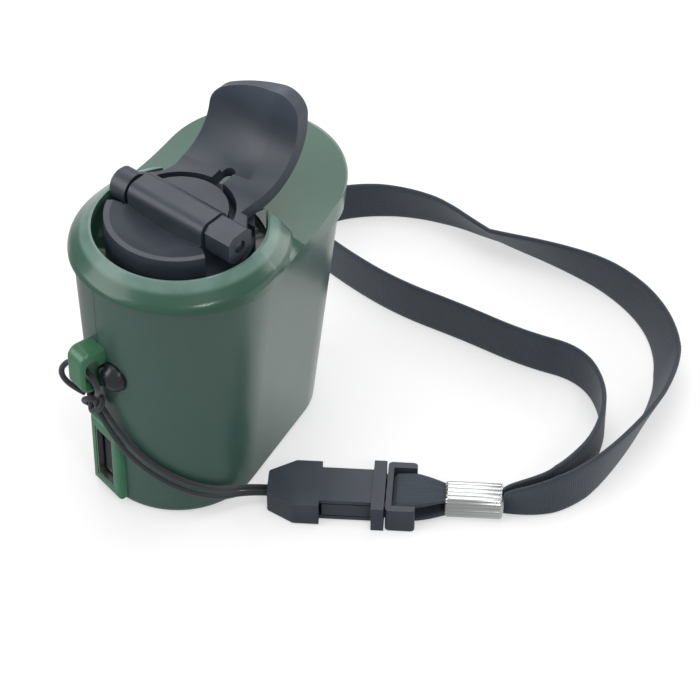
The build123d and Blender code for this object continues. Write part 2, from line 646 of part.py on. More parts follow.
def lanyard_eye():
    route = [(1.8, -1.2, -7.5), (3.0, -3.6, -4.8), (3.6, -4.3, -1.6), (3.3, 0.0, 0.0),
             (3.9, 4.3, -0.6), (6.0, 5.6, -3.2), (5.4, 3.8, -6.2), (3.0, 1.2, -8.1)]
    return tube([off_nose(*p) for p in route], CORD_R, "lanyard_eye")


def lanyard_cords():
    """Two strands that drape round the near end and run into the buckle."""
    low = [(17.0, 2.4, 25.4), (4.3, 2.3, 18.9), (-14.4, 1.75, 13.0), (-35.7, 1.75, 8.4), (-58.1, 2.1, 4.6)]
    high = [(16.0, 1.9, 27.0), (3.4, 1.4, 20.7), (-15.5, 1.3, 15.0), (-36.9, 1.35, 10.3), (-59.2, 1.4, 6.2)]
    mid = SOCKET_H / 2
    cords = []
    for side, route, name in ((-1, low, "lanyard_cord_low"), (1, high, "lanyard_cord_high")):
        points = [round_nose(*p) for p in route]
        points += [tuple((buckle_frame() * Pos(x, side * CORD_PITCH / 2, mid)).position) for x in (-4.5, 1.5)]
        cords.append(tube(points, CORD_R, name))
    return cords


def lanyard_knot():
    at = off_nose(1.8, 0.0, -9.1)
    return Pos(*at) * Rot(0, 0, -NOSE_DEG) * Rot(0, 20, 0) * scale(Sphere(2.0), by=(0.8, 1.25, 1.0))


def buckle_frame():
    return Location((*BUCKLE_AT, 0), (0, 0, BUCKLE_DEG))


def buckle_socket():
    w, h = SOCKET_W / 2, SOCKET_H
    side = Polyline((0, -w + 3.4), (5.5, -w), (SOCKET_L, -w), (SOCKET_L, w), (5.5, w), (0, w - 3.4), close=True)
    body = extrude(make_face(side), h - 0.8)
    body = Pos(0, 0, 0.4) * fillet(body.edges().filter_by(Axis.Z), 0.8)
    body += box(SOCKET_L - FLANGE, SOCKET_L, -w - 0.6, w + 0.6, 0, h)
    mid = h / 2
    deep = SOCKET_L - PRONG_L - 1.6
    body -= box(deep, SOCKET_L + 1, -w + 1.4, w - 1.4, mid - PRONG_T / 2 - 0.25, mid + PRONG_T / 2 + 0.25)
    for s in (-1, 1):
        side = sorted((s * (w - 1.7), s * (w + 3)))
        body -= box(deep + 1.4, SOCKET_L - FLANGE, *side, -1, h + 1)
        body -= rod_x(CORD_R + 0.1, -1, 1.6, s * CORD_PITCH / 2, mid)
    return buckle_frame() * body


def buckle_plug():
    w, h, mid = SOCKET_W / 2, SOCKET_H, SOCKET_H / 2
    x0 = SOCKET_L + PLUG_GAP
    x1 = x0 + FRAME_L
    body = box(x0, x1, -w - 0.6, w + 0.6, 0.2, h - 0.2)
    body = fillet(body.edges().filter_by(Axis.Z), 0.9)
    inside = WEB_W / 2 + 0.5
    body -= box(x0 + 1.2, x1 + 1, -inside, inside, -1, h + 1)
    body += box(x0 + BAR_AT, x0 + BAR_AT + BAR_T, -inside, inside, mid - BAR_H / 2, mid + BAR_H / 2)
    z0, z1 = mid - PRONG_T / 2, mid + PRONG_T / 2
    for s in (-1, 1):
        body += box(x0 - PRONG_L, x0 + 0.5, *sorted((s * (w - 3.4), s * (w - 1.7))), z0, z1)
        body += box(x0 - PRONG_L, x0 - PRONG_L + 4.4, *sorted((s * (w - 4.2), s * (w - 1.7))), z0, z1)
    body += box(x0 - PRONG_L * 0.8, x0 + 0.5, -1.0, 1.0, z0 + 0.3, z1 - 0.3)
    return buckle_frame() * body


def webbing_fold():
    """The strap's doubled end round the plug's bar, narrowing to the crimp."""
    mid, h = SOCKET_H / 2, 4.2
    x0 = SOCKET_L + PLUG_GAP
    x1 = x0 + FRAME_L
    bar = x0 + BAR_AT
    w = WEB_W / 2 - 0.2
    flat = box(bar - 0.3 - 0.5, x1, -w, w, mid - h / 2, mid + h / 2)
    flat = fillet(flat.edges().filter_by(Axis.Y).group_by(Axis.X)[0], 1.2)
    a = Plane(origin=(x1, 0, mid), x_dir=(0, 1, 0), z_dir=(1, 0, 0)) * Rectangle(2 * w, h)
    b = Plane(origin=(CRIMP_AT, 0, mid), x_dir=(0, 1, 0), z_dir=(1, 0, 0)) * Rectangle(CRIMP_W - 1.2, h)
    body = flat + loft([a, b], ruled=True)
    body -= box(bar - 0.3, bar + BAR_T + 0.3, -w - 1, w + 1, mid - BAR_H / 2 - 0.3, mid + BAR_H / 2 + 0.3)
    return buckle_frame() * body


def crimp():
    mid, w, h = SOCKET_H / 2, CRIMP_W / 2, CRIMP_H / 2
    body = box(CRIMP_AT, CRIMP_AT + CRIMP_L, -w, w, mid - h, mid + h)
    body = fillet(body.edges().filter_by(Axis.X), 1.3)
    for i in (-1, 0, 1):
        for s in (-1, 1):
            body -= box(CRIMP_AT + 1.2, CRIMP_AT + CRIMP_L - 1.2, i * 1.7 - 0.3, i * 1.7 + 0.3,
                        *sorted((mid + s * (h - 0.4), mid + s * (h + 1))))
            body -= box(CRIMP_AT + 1.2, CRIMP_AT + CRIMP_L - 1.2, *sorted((s * (w - 0.4), s * (w + 1))),
                        mid + i * 1.5 - 0.3, mid + i * 1.5 + 0.3)
    return buckle_frame() * body


STRAP = [(30.0, -77.6), (43.0, -79.0), (58.0, -78.6), (72.0, -74.8), (82.6, -65.4), (88.4, -52.0), (89.0, -37.0),
         (88.0, -22.0), (89.0, -7.5), (84.6, 6.0), (75.2, 15.8), (64.4, 12.4), (60.4, -1.0), (58.0, -15.5),
         (58.6, -31.0), (58.2, -46.5), (60.6, -60.0), (52.0, -70.2), (39.6, -74.4), (28.6, -73.4)]
STRAND = 0.85           # offset of each strand from the crimp's middle


def webbing_loop():
    ends = [tuple((buckle_frame() * Pos(CRIMP_AT + CRIMP_L + x, y, 0)).position)
            for x, y in ((0.1, -STRAND), (8.0, -STRAND - 0.4), (7.6, STRAND + 0.6), (0.1, STRAND))]
    path = cord_path(ends[:2] + [(x, y, 0) for x, y in STRAP] + ends[2:], "webbing_loop")
    t = path % 0
    face = Plane(origin=path @ 0, x_dir=Vector(-t.Y, t.X, 0), z_dir=t) * Rectangle(WEB_T, WEB_W)
    body = Pos(0, 0, WEB_W / 2 + 0.1) * sweep(face, path=path)
    print("webbing_loop volume", round(body.volume, 1), "expected", round(path.length * WEB_W * WEB_T, 1),
          "length", round(path.length, 1))
    return body


def main():
    os.makedirs("parts", exist_ok=True)
    front, rear = shells()
    usb_shell, usb_tongue, usb_contacts = usb_parts()
    capacitors, chip, coil = board_parts()
    lens, bulb = lamp()
    cord_low, cord_high = lanyard_cords()
    nodes = {
        "front_shell": front, "rear_shell": rear, "shell_screws": shell_screws(), "top_cover": top_cover(),
        "port_bezel": port_bezel(), "usb_shell": usb_shell, "usb_tongue": usb_tongue,
        "usb_contacts": usb_contacts, "circuit_board": circuit_board()[0], "board_capacitors": capacitors,
        "board_chip": chip, "board_inductor": coil, "lamp_lens": lens, "lamp_bulb": bulb,
        "crank_hub": hub(), "crank_arm": crank_arm(), "hinge_pin": hinge_pin(), "crank_shaft": crank_shaft(),
        "crank_gear": crank_gear(), "shaft_clip": shaft_clip(), "idler_gear": idler_gear(),
        "idler_axle": idler_axle(), "gear_plate": gear_plate(), "plate_screws": plate_screws(),
        "generator_can": generator_can(), "generator_stator": generator_stator(),
        "generator_rotor": generator_rotor(), "generator_pinion": generator_pinion(),
        "lanyard_eye": lanyard_eye(), "lanyard_knot": lanyard_knot(), "lanyard_cord_low": cord_low,
        "lanyard_cord_high": cord_high, "buckle_socket": buckle_socket(), "buckle_plug": buckle_plug(),
        "webbing_fold": webbing_fold(), "strap_crimp": crimp(), "webbing_loop": webbing_loop(),
    }
    for name, shape in nodes.items():
        export_step(shape, f"parts/{name}.step")


if __name__ == "__main__":
    main()
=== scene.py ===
"""Looks of the hand crank phone charger, laid out as an add-on and run as a script.

All lengths are metres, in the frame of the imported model.
"""

import math

import bmesh
import bpy
import numpy as np
from bpy.props import FloatProperty, FloatVectorProperty, PointerProperty
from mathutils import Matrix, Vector


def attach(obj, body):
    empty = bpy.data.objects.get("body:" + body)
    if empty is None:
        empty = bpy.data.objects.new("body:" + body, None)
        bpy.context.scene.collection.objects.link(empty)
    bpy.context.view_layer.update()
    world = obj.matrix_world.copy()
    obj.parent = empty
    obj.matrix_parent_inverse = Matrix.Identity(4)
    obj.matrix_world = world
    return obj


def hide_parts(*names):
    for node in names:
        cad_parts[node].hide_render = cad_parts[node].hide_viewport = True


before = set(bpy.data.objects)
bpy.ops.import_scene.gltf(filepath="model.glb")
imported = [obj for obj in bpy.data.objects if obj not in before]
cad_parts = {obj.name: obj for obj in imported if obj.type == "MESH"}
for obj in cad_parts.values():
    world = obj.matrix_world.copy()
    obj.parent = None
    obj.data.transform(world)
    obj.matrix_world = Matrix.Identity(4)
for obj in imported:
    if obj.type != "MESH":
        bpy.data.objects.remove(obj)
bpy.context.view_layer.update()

bl_info = {
    "name": "Hand crank charger",
    "version": (1, 0, 0),
    "blender": (4, 5, 0),
    "location": "3D View > Sidebar > Charger",
    "description": "Finishes a hand crank phone charger with its lanyard",
    "category": "Object",
}

MM = 0.001
FULL_TURN = 2 * math.pi
WELD = 0.000002                                  # points closer than this are one point
SMOOTH_ANGLE = math.radians(50)                  # made pieces show an edge past this angle
ROUNDED_ANGLE, ROUNDING_STEPS = math.radians(35), 2       # edges past this angle are rounded, in steps

# Places on the housing that its finishes follow.
SEAM_Y, SEAM_HALF, SEAM_SOFT = 0.0067, 0.00008, 0.00007   # plane where the two shells part
NEAR_X, NEAR_RADIUS = -0.0034, 0.0170            # near end's axis and radius at the floor
NEAR_X_GAIN, NEAR_RADIUS_GAIN = 3.1 / 60, 4.2 / 60        # and what each gains with height
EAR_OFF_WALL = (0.00012, 0.00030)                # distances off the wall at which the ear's colour fades in
EAR_BEYOND = (0.012, 0.014)                      # distances towards the near end, as minus X
EAR_ABOVE = (0.020, 0.022)
LOW_TINT = (0.050, 0.004)                        # heights where the low tint starts and is whole
LIP = (0.0590, 0.0598)                           # heights where painted sheen makes the collar's lip pale
RAMP_PAINTED_LIGHT = (0.012, 0.024)                            # X over which painted light makes the cover's ramp paler
GRIP_PAINTED_LIGHT = (0.066, 0.090)                            # heights over which painted light makes the grip paler
NOWHERE = (1.0, 2.0)                             # heights above everything


# ---- colours and shader maths --------------------------------------------
def tone(red, green, blue):
    """Linear colour of an 8-bit display colour."""
    def linear(c):
        c /= 255
        return c / 12.92 if c <= 0.04045 else ((c + 0.055) / 1.055) ** 2.4
    return (linear(red), linear(green), linear(blue), 1.0)


def shade(colour, factor):
    """A colour with its brightness multiplied."""
    return tuple(c * factor for c in colour[:3]) + (1.0,)


def opaque(colour):
    """A setting's colour with its alpha."""
    return tuple(colour[:3]) + (1.0,)


class Value:
    """A shader socket. Sums written with it add their Math nodes."""

    def __init__(self, look, socket):
        self.look, self.socket = look, socket

    def _math(self, operation, first, second):
        return self.look.node("ShaderNodeMath", {"operation": operation}, {0: first, 1: second})

    def __add__(self, other):
        return self._math("ADD", self, other)

    def __radd__(self, other):
        return self._math("ADD", other, self)

    def __sub__(self, other):
        return self._math("SUBTRACT", self, other)

    def __rsub__(self, other):
        return self._math("SUBTRACT", other, self)

    def __mul__(self, other):
        return self._math("MULTIPLY", self, other)

    def __rmul__(self, other):
        return self._math("MULTIPLY", other, self)

    def __pow__(self, other):
        return self._math("POWER", self, other)

    def sine(self):
        return self._math("SINE", self, 0.0)

    def absolute(self):
        return self._math("ABSOLUTE", self, 0.0)


class Look:
    """A node material with its coordinates; node() is the one way that nodes are added."""

    def __init__(self, name):
        self.material = bpy.data.materials.new(name)
        self.material.use_nodes = True
        self.tree = self.material.node_tree
        self.shader = self.tree.nodes["Principled BSDF"]

    def node(self, kind, settings=(), inputs=(), output=0):
        made = self.tree.nodes.new(kind)
        for key, value in dict(settings).items():
            setattr(made, key, value)
        for key, value in dict(inputs).items():
            self.feed(made.inputs[key], value)
        return Value(self, made.outputs[output])

    def feed(self, socket, value):
        if isinstance(value, Value):
            self.tree.links.new(value.socket, socket)
        else:
            socket.default_value = value

    def place(self):
        return self.node("ShaderNodeTexCoord", output="Object")

    def axes(self, vector=None):
        """X, Y and Z of the place on the object, or of another vector."""
        split = self.node("ShaderNodeSeparateXYZ", (), {0: vector or self.place()})
        outputs = split.socket.node.outputs
        return [Value(self, outputs[i]) for i in range(3)]

    def across(self):
        """U and V of the piece's own map."""
        return self.axes(self.node("ShaderNodeUVMap", {"uv_map": "along"}))[:2]

    def stretched(self, scale):
        """The place on the object, multiplied axis by axis."""
        return self.node("ShaderNodeMapping", {"vector_type": "POINT"},
                         {"Vector": self.place(), "Scale": scale})

    def noise(self, scale, detail, vector=None):
        return self.node("ShaderNodeTexNoise", (), {"Vector": vector or self.place(), "Scale": scale,
                                                    "Detail": detail})

    def rise(self, value, low, high):
        """0 below LOW, 1 above HIGH, and a smooth step between."""
        return self.node("ShaderNodeMapRange", {"interpolation_type": "SMOOTHSTEP"},
                         {"Value": value, "From Min": low, "From Max": high})

    def band(self, value, middle, half, soft):
        """1 within HALF of MIDDLE, fading to 0 over SOFT."""
        return 1 - self.rise((value - middle).absolute(), half, half + soft)

    def mix(self, factor, first, second):
        """FIRST where the factor is 0 and SECOND where it is 1. A Mix node's colours are its inputs 6 and 7
        and its output 2."""
        return self.node("ShaderNodeMix", {"data_type": "RGBA"}, {0: factor, 6: first, 7: second}, 2)

    def relief(self, height, distance, strength, normal=None):
        """Bumps DISTANCE high, on top of another normal if one is given."""
        inputs = {"Height": height, "Distance": distance, "Strength": strength}
        if normal is not None:
            inputs["Normal"] = normal
        return self.node("ShaderNodeBump", (), inputs)

    def finish(self, colour, roughness, normal=None, **fixed):
        """Feeds the shader and returns the material."""
        self.feed(self.shader.inputs["Base Color"], colour)
        self.feed(self.shader.inputs["Roughness"], roughness)
        if normal is not None:
            self.feed(self.shader.inputs["Normal"], normal)
        for key, value in fixed.items():
            self.feed(self.shader.inputs[key.replace("_", " ")], value)
        return self.material


# ---- finishes ------------------------------------------------------------
# Pale grey-green of the painted sheen on the collar's lip.
LIP_SHEEN_GREEN = tone(100, 130, 120)
WIRE = 0.35 * MM                                 # thickness of the generator's wire
BRAID_ALONG, BRAID_ABOUT = 3.0, 4.0              # strands in a diameter's length, and round the cord
WEFT_RIBS, WARP_COLUMNS = 20.0, 13.0             # ribs in a width's length, and columns across the webbing
SELVEDGE = (0.43, 0.46)                          # shares of the width off its middle


def satin_green(sizes):
    """Satin painted plastic: fine grain, faint mottle, a cleaner green low down, and a dark parting line.
    The ear that carries the cord, whatever stands off the wall, has the socket surround's green."""
    look = Look("satin_green")
    x, y, z = look.axes()
    grey, rich = opaque(sizes.body_colour), opaque(sizes.low_colour)
    mottle = look.noise(90, 3)
    colour = look.mix(look.rise(z, *LOW_TINT) * 0.55, grey, rich)
    colour = look.mix(look.rise(mottle, 0.35, 0.7) * 0.12, colour, shade(grey, 1.2))
    middle, radius = z * NEAR_X_GAIN + NEAR_X, z * NEAR_RADIUS_GAIN + NEAR_RADIUS
    off_wall = ((x - middle) * (x - middle) + y * y) ** 0.5 - radius
    ear = look.rise(off_wall, *EAR_OFF_WALL) * look.rise(x * -1, *EAR_BEYOND) * look.rise(z, *EAR_ABOVE)
    colour = look.mix(ear, colour, shade(sizes.bezel_colour, 0.8))
    seam = look.band(y, SEAM_Y, SEAM_HALF, SEAM_SOFT) * (1 - ear)
    colour = look.mix(seam * 0.75, colour, shade(grey, 0.15))
    grain = look.relief(look.noise(2600, 2), 0.00003, 0.4)
    return look.finish(colour, 0.32 + mottle * 0.08, look.relief(1 - seam, 0.00015, 1.0, grain),
                       Coat_Weight=0.30, Coat_Roughness=0.20)


def gloss_green(sizes):
    """Glossy moulded plastic, with painted light that makes the ramp paler and painted sheen that makes the
    collar's lip pale; the lip is also a little rougher."""
    look = Look("gloss_green")
    x, _, z = look.axes()
    deep = opaque(sizes.cover_colour)
    cloud = look.noise(70, 2)
    # Painted sheen: the collar's lip is mixed pale in uneven patches, and its roughness rises a little
    # there.
    wear_and_sheen = look.rise(z, *LIP) * (look.rise(look.noise(260, 3), 0.25, 0.60) * 0.3 + 0.7)
    colour = look.mix(look.rise(cloud, 0.35, 0.7) * 0.2, deep, shade(deep, 1.25))
    # Painted light: the cover is mixed paler along its ramp.
    colour = look.mix(look.rise(x, *RAMP_PAINTED_LIGHT) * 0.45, colour, shade(deep, 1.7))
    colour = look.mix(wear_and_sheen * 0.70, colour, LIP_SHEEN_GREEN)
    roughness = 0.26 + look.noise(900, 3) * 0.10 + wear_and_sheen * 0.05
    return look.finish(colour, roughness, look.relief(look.noise(2400, 2), 0.00002, 0.3),
                       Coat_Weight=0.3, Coat_Roughness=0.12)


def bezel_green(sizes):
    """Brighter glossy green of the socket's surround."""
    look = Look("bezel_green")
    base = opaque(sizes.bezel_colour)
    cloud = look.noise(320, 3)
    colour = look.mix(look.rise(cloud, 0.35, 0.7) * 0.3, base, shade(base, 0.6))
    return look.finish(colour, 0.28 + cloud * 0.12, look.relief(cloud, 0.0001, 0.3))


def moulded_black(name, colour, rough, painted_light_heights=NOWHERE):
    """Satin black plastic: spark-eroded grain, rubbed paler in patches, and faint flow streaks; painted
    light makes it paler over the heights given last, such as the crank's grip."""
    look = Look(name)
    base = opaque(colour)
    flow = look.noise(1.0, 3, look.stretched((60, 190, 60)))
    rub = look.rise(look.noise(130, 3), 0.40, 0.72)
    toned = look.mix(rub * 0.30, base, shade(base, 1.8))
    toned = look.mix(look.rise(flow, 0.5, 0.8) * 0.25, toned, shade(base, 0.55))
    # Painted light: paler over the given heights.
    toned = look.mix(look.rise(look.axes()[2], *painted_light_heights), toned, shade(base, 2.1))
    grain = look.relief(look.noise(3800, 2), 0.00003, 0.5)
    return look.finish(toned, rough + rub * 0.10 + flow * 0.08, grain)


def smoked_lens():
    """Dark tinted dome with a softly polished skin."""
    look = Look("smoked_lens")
    haze = look.noise(300, 2)
    colour = look.mix(haze * 0.6, tone(18, 20, 23), tone(34, 38, 43))
    return look.finish(colour, 0.26 + haze * 0.08, Coat_Weight=0.3, Coat_Roughness=0.2)


def bright_metal(name, colour, streaks, rough=0.22):
    """Metal with fine drawn lines: noise whose grain runs STREAKS times finer along each axis."""
    look = Look(name)
    base = opaque(colour)
    lines = look.noise(1.0, 4, look.stretched(streaks))
    stain = look.noise(180, 3)
    toned = look.mix(look.rise(stain, 0.45, 0.8) * 0.25, base, shade(base, 0.6))
    return look.finish(toned, rough + lines * 0.16, look.relief(lines, 0.00003, 0.5), Metallic=1.0)


def plain_plastic(name, colour, rough):
    """Moulded plastic with a little cloud and grain, for the small and inner pieces."""
    look = Look(name)
    cloud = look.noise(500, 3)
    toned = look.mix(look.rise(cloud, 0.35, 0.75) * 0.3, colour, shade(colour, 0.75))
    grain = look.relief(look.noise(3000, 2), 0.00003, 0.4)
    return look.finish(toned, rough + cloud * 0.12, grain)


def wound_copper():
    """Enamelled wire in close turns: a sine wave with height, which also paints shade between the turns."""
    look = Look("wound_copper")
    turns = (look.axes()[2] * (FULL_TURN / WIRE)).sine()
    # Painted shade: each turn's colour darkens towards the grooves between turns and pales on its crown.
    colour = look.mix(look.rise(turns, -0.9, 0.4), tone(96, 50, 24), tone(184, 110, 58))
    roughness = 0.3 + look.noise(400, 2) * 0.15
    return look.finish(colour, roughness, look.relief(turns, 0.00008, 0.8), Metallic=0.8)


def braided(sizes):
    """Round braid: the product of two sine waves, along the two families of diagonal strands, with painted
    shade in its hollows.
    """
    look = Look("braided_cord")
    u, v = look.across()
    along, about = u * BRAID_ALONG, v * BRAID_ABOUT
    one, two = ((along + about) * FULL_TURN).sine(), ((along - about) * FULL_TURN).sine()
    weave = one * two * 0.5 + 0.5
    fuzz = look.noise(4200, 2)
    base = opaque(sizes.cord_colour)
    # Painted shade: the weave's hollows are darker and its crowns paler, with fibre fuzz mixed in.
    shade_and_fuzz = look.rise(weave, 0.15, 0.85) * 0.55 + fuzz * 0.2
    colour = look.mix(shade_and_fuzz, shade(base, 0.55), shade(base, 1.5))
    return look.finish(colour, 0.62 + fuzz * 0.2, look.relief(weave, 0.00009, 0.9),
                       Sheen_Weight=0.25, Sheen_Roughness=0.5)


def woven(sizes):
    """Narrow webbing: a sine wave of weft ribs across, one of warp columns that sways with every second
    rib, and tight selvedges, with painted shade in the hollows of the weave."""
    look = Look("woven_webbing")
    u, v = look.across()
    rib = (u * FULL_TURN * WEFT_RIBS).sine()
    sway = (u * FULL_TURN * (WEFT_RIBS / 2)).sine() * 0.4
    column = (v * FULL_TURN * WARP_COLUMNS + sway).sine()
    edge = look.rise((v - 0.5).absolute(), *SELVEDGE)
    weave = rib * 0.55 + column * 0.45
    fuzz = look.noise(3000, 3)
    wear_and_sheen = look.noise(120, 3)
    base = opaque(sizes.webbing_colour)
    # Painted shade: the ribs' hollows are darker and their crowns paler, with fibre fuzz mixed in.
    shade_and_fuzz = look.rise(weave, -0.8, 0.8) * 0.35 + fuzz * 0.25
    colour = look.mix(shade_and_fuzz, shade(base, 0.75), shade(base, 1.25))
    colour = look.mix(look.rise(wear_and_sheen, 0.45, 0.75) * 0.25, colour, shade(base, 1.5))
    colour = look.mix(edge * 0.35, colour, shade(base, 0.7))
    height = weave * 0.7 + edge * 0.5
    return look.finish(colour, 0.72 + fuzz * 0.15, look.relief(height, 0.00006, 0.7),
                       Sheen_Weight=0.15, Sheen_Roughness=0.5)


# ---- surfaces ------------------------------------------------------------
SPLINE_STEPS = 14                                # points of a smooth line for each of its route's
ACROSS_START = (0.31, 0.20, 0.93)                # a direction that no line starts along
TUBE_COLUMNS, KNOT_COLUMNS = 14, 10              # points round a cord


def shown(name, mesh):
    """An object of a mesh, at the origin and in the scene."""
    made = bpy.data.objects.new(name, mesh)
    bpy.context.scene.collection.objects.link(made)
    return made


def smooth_line(route):
    """Points of an open spline of order 3 that starts and ends on the route's ends."""
    curve = bpy.data.curves.new("route", "CURVE")
    curve.dimensions = "3D"
    spline = curve.splines.new("NURBS")
    spline.points.add(len(route) - 1)
    spline.points.foreach_set("co", np.c_[route, np.ones(len(route))].ravel())
    spline.order_u = 3
    spline.use_endpoint_u = True
    spline.resolution_u = SPLINE_STEPS
    holder = bpy.data.objects.new("route", curve)
    mesh = bpy.data.meshes.new_from_object(holder)
    points = np.empty(len(mesh.vertices) * 3)
    mesh.vertices.foreach_get("co", points)
    bpy.data.objects.remove(holder)
    bpy.data.curves.remove(curve)
    bpy.data.meshes.remove(mesh)
    return points.reshape(-1, 3)


def unit(vectors):
    """Vectors divided by their lengths."""
    return vectors / np.linalg.norm(vectors, axis=-1, keepdims=True)


def lengths(line):
    """Distance along a line at each of its points."""
    return np.r_[0, np.cumsum(np.linalg.norm(np.diff(line, axis=0), axis=1))]


def carried_frames(line):
    """Tangents and two cross directions that turn as little as they can from point to point."""
    tangent = unit(np.gradient(line, axis=0))
    side = np.empty_like(tangent)
    side[0] = unit(np.cross(tangent[0], ACROSS_START))
    for i in range(1, len(line)):
        side[i] = unit(side[i - 1] - tangent[i] * (side[i - 1] @ tangent[i]))
    return tangent, side, np.cross(tangent, side)


def surface(name, grid, along, closed=False, capped=False):
    """Mesh of a grid of points. ALONG gives U of each row and V of each column; CLOSED joins the last
    column to the first, and CAPPED closes the two ends."""
    rows, columns = grid.shape[:2]
    strips = columns if closed else columns - 1
    r, c = (a.ravel() for a in np.meshgrid(np.arange(rows - 1), np.arange(strips), indexing="ij"))
    corner_rows = np.stack([r, r, r + 1, r + 1], 1)
    corner_columns = np.stack([c, c + 1, c + 1, c], 1)
    faces = (corner_rows * columns + corner_columns % columns).tolist()
    u, v = along
    marks = np.stack([u[corner_rows], v[corner_columns]], -1).reshape(-1, 2)
    if capped:
        ends = [list(range(columns))[::-1], list(range((rows - 1) * columns, rows * columns))]
        faces += ends
        marks = np.r_[marks, np.zeros((2 * columns, 2))]
    mesh = bpy.data.meshes.new(name)
    mesh.from_pydata(grid.reshape(-1, 3), [], faces)
    mesh.uv_layers.new(name="along").data.foreach_set("uv", marks.astype(np.float32).ravel())
    if closed:
        shape = bmesh.new()
        shape.from_mesh(mesh)
        bmesh.ops.recalc_face_normals(shape, faces=shape.faces)
        shape.to_mesh(mesh)
        shape.free()
    mesh.shade_smooth()
    mesh.set_sharp_from_angle(angle=SMOOTH_ANGLE)
    return shown(name, mesh)


def round_tube(name, line, radius, columns=TUBE_COLUMNS):
    """A circle carried along a line: line + radius (cos t side + sin t other). U counts diameters along
    it, V goes once round."""
    _, side, other = carried_frames(line)
    turn = np.linspace(0, 2 * np.pi, columns, endpoint=False)
    ring = np.cos(turn)[None, :, None] * side[:, None] + np.sin(turn)[None, :, None] * other[:, None]
    grid = line[:, None] + radius * ring
    u = lengths(line) / (2 * radius)
    return surface(name, grid, (u, np.arange(columns + 1) / columns), closed=True, capped=True)


def ribbon_section(thick):
    """Closed outline across a band of width 1, as (across, through): two straight faces with half-round
    edges, counted from the lower face's start."""
    t = np.linspace(-1, 1, 10)
    edge = np.linspace(0, np.pi, 5)[1:-1]
    flat = 0.5 - thick / 2
    low = np.stack([t * flat, np.full_like(t, -thick / 2)], 1)
    right = np.stack([flat + thick / 2 * np.sin(edge), -thick / 2 * np.cos(edge)], 1)
    return np.concatenate([low, right, -low, -right])


def section_shares(section):
    """V of each point of a band's outline: its place across the width, closed on the first point."""
    across = section[:, 0] + 0.5
    return np.r_[across, across[0]]


def flat_band(name, line, lean, width, thick, bow, lift):
    """A band's section carried along a line. LEAN turns its width from upright towards the left of
    travel. WIDTH changes along it, as does BOW, how far the middle of the width stands out. LIFT is the
    height of its lower edge."""
    tangent = unit(np.gradient(line, axis=0) * [1, 1, 0])
    left = np.cross([0, 0, 1.0], tangent)
    up = np.cos(lean)[:, None] * [0, 0, 1.0] + np.sin(lean)[:, None] * left
    through = np.cross(up, tangent)
    section = ribbon_section(thick / width.max())
    across = section[None, :, 0] * width[:, None]
    inward = section[None, :, 1] * width.max() + bow[:, None] * (1 - 4 * section[None, :, 0] ** 2)
    grid = line[:, None] + across[..., None] * up[:, None] + inward[..., None] * through[:, None]
    grid[..., 2] += (lift - grid[..., 2].min(axis=1))[:, None]
    along = lengths(line) / width.max()
    return surface(name, grid, (along, section_shares(section)), closed=True, capped=True)


def add_piece(piece, material, node, body):
    """Gives a made piece its finish, hides the CAD node whose place it takes, and gives it the body that it
    moves with.
    """
    piece.data.materials.append(material)
    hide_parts(node)
    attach(piece, body)


def dress(node, material):
    """Gives a CAD node its finish."""
    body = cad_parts[node]
    body.data.materials.clear()
    body.data.materials.append(material)


def even_normals(piece):
    """Flat faces keep their own shading beside the narrow ones that round an edge."""
    piece.modifiers.new("normals", "WEIGHTED_NORMAL").keep_sharp = True


def soften(node, width):
    """Rounds a CAD node's sharp edges with live modifiers."""
    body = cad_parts[node]
    body.modifiers.new("weld", "WELD").merge_threshold = WELD
    bevel = body.modifiers.new("rounding", "BEVEL")
    bevel.width, bevel.segments = width, ROUNDING_STEPS
    bevel.limit_method, bevel.angle_limit = "ANGLE", ROUNDED_ANGLE
    bevel.use_clamp_overlap = True
    even_normals(body)


# ---- collar --------------------------------------------------------------
# The cover's collar is round at the near end, and its two arms run on beside the crank. On the CAD node
# they follow the cover's straight sides, and here they are drawn in to a circle.
ARM_START, ARM_END = 0.0014, 0.01295             # X where the arms leave the round end, and where they stop
ARM_FOOT, ARM_BLEND = 0.0552, 0.0008             # height where they draw in, and the rise that it takes
ARM_SIDE = 0.012                                 # the arms lie further than this from the middle plane
BEFORE_ARMS, PAST_ARMS = -0.001, ARM_END + 0.0003         # X between which faces are cut
RECESS_RADIUS, SIDE_LEAN = 0.0174, 0.108         # inside of the collar, and lean of the straight sides
COLLAR_LEVELS = (0.0550, 0.0572, 0.0597, 0.0608)
COLLAR_RADII = (0.0221, 0.0220, 0.0194, 0.0179)  # outside radius at each of those heights
CUTS_ABOVE_FOOT = (0.0, 0.0004, 0.0008, 0.0014)
CUT_STEP, CUTS_ALONG, CUT_SNAP = 0.0009, 13, 0.000001
CREASE = math.radians(14)                        # the cover shows an edge past this angle


def round_collar(points):
    """Draws the arms in to a circle: the distance outside the recess is scaled by that of the circle over
    that of the straight side."""
    x, y, z = points.T
    radius = np.interp(z, COLLAR_LEVELS, COLLAR_RADII)
    inside = np.sqrt(np.clip(RECESS_RADIUS ** 2 - x ** 2, 0, None))
    straight = radius - SIDE_LEAN * (x - ARM_START) - inside
    circle = np.sqrt(radius ** 2 - np.clip(x, 0, ARM_END) ** 2) - inside
    drawn = np.clip(np.abs(y) - inside, 0, None) * np.clip(1 - circle / straight, 0, 1)
    share = np.clip((z - ARM_FOOT) / ARM_BLEND, 0, 1) * ((x > ARM_START) & (x < ARM_END))
    return np.stack([x, y - np.sign(y) * share * drawn, z], 1)


def on_arms(face):
    """Whether a face lies wholly about the arms, or reaches up to them from below and outside."""
    corners, middle = [v.co for v in face.verts], face.calc_center_median()
    within = all(c.z > ARM_FOOT - ARM_BLEND and BEFORE_ARMS < c.x < PAST_ARMS for c in corners)
    return within or (max(c.z for c in corners) > ARM_FOOT and 0 < middle.x < ARM_END
                      and abs(middle.y) > ARM_SIDE)


